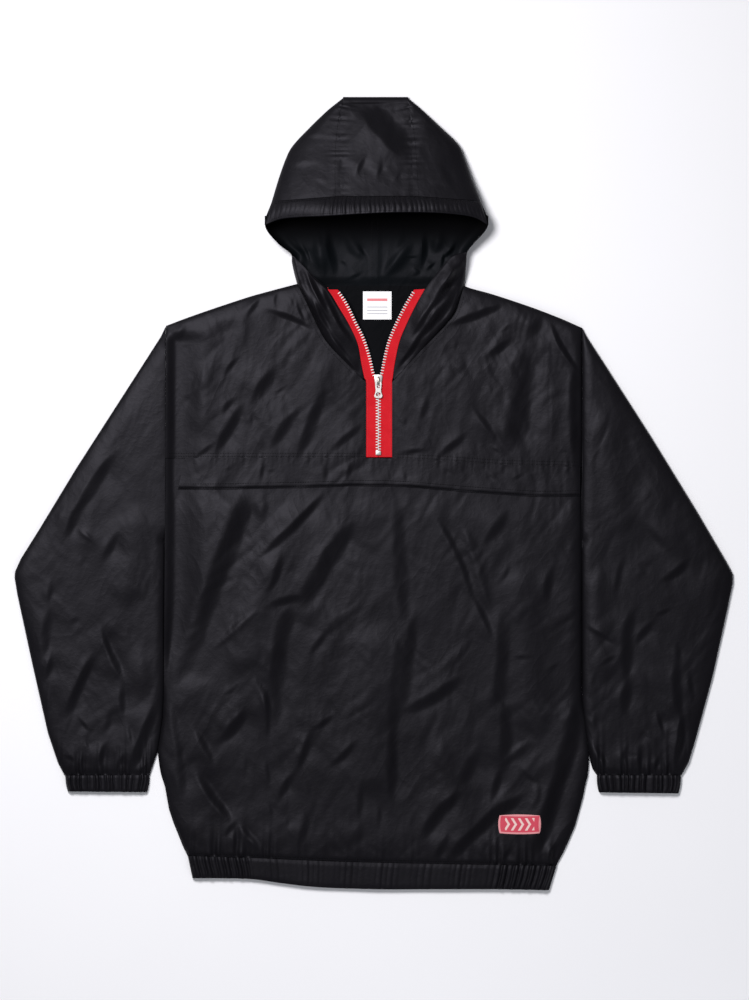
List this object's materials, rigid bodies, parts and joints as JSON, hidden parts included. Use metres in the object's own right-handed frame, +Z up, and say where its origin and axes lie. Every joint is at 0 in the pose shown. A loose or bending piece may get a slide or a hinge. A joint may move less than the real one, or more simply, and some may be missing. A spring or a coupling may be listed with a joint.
{
  "type": "hooded half-zip anorak pullover, laid flat",
  "caption": "Hooded half-zip pullover laid face up, with a chest pocket flap, gathered cuffs and hem, an open hood and a hinged zip pull.",
  "frame": {"origin": "on the surface that the garment lies on, under the middle of the laid-out garment", "axes": "+Z up from the surface, +Y from the hem towards the hood, +X to the right seen from above"},
  "size_m": [0.8618, 0.9514, 0.0478],
  "materials": {
    "nylon": "black plain-woven nylon with a soft sheen",
    "zip_tape": "bright red woven zip tape",
    "zip_metal": "polished silver-coloured metal",
    "label": "white woven label",
    "patch": "embroidered thread"
  },
  "bodies": {
    "garment": {"back_body": "nylon", "front_yoke_left": "nylon", "front_yoke_right": "nylon", "front_lower": "nylon", "pocket_flap": "nylon", "sleeve_left": "nylon", "sleeve_right": "nylon", "cuff_left": "nylon", "cuff_right": "nylon", "hem_band": "nylon", "hood_center": "nylon", "hood_left": "nylon", "hood_right": "nylon", "hood_casing": "nylon", "zip_tape_left": "zip_tape", "zip_tape_right": "zip_tape", "zip_slider": "zip_metal", "zip_stop": "zip_metal", "neck_label": "label", "hem_patch": "patch"},
    "pull_tab": {"pull_tab": "zip_metal"}
  },
  "joints": [
    {"name": "tab_hinge", "type": "hinge", "parent": "garment", "child": "pull_tab", "pos_m": [0.0058, 0.1331, 0.00865], "axis": [-1, 0, 0], "range_deg": [0, 165]}
  ]
}
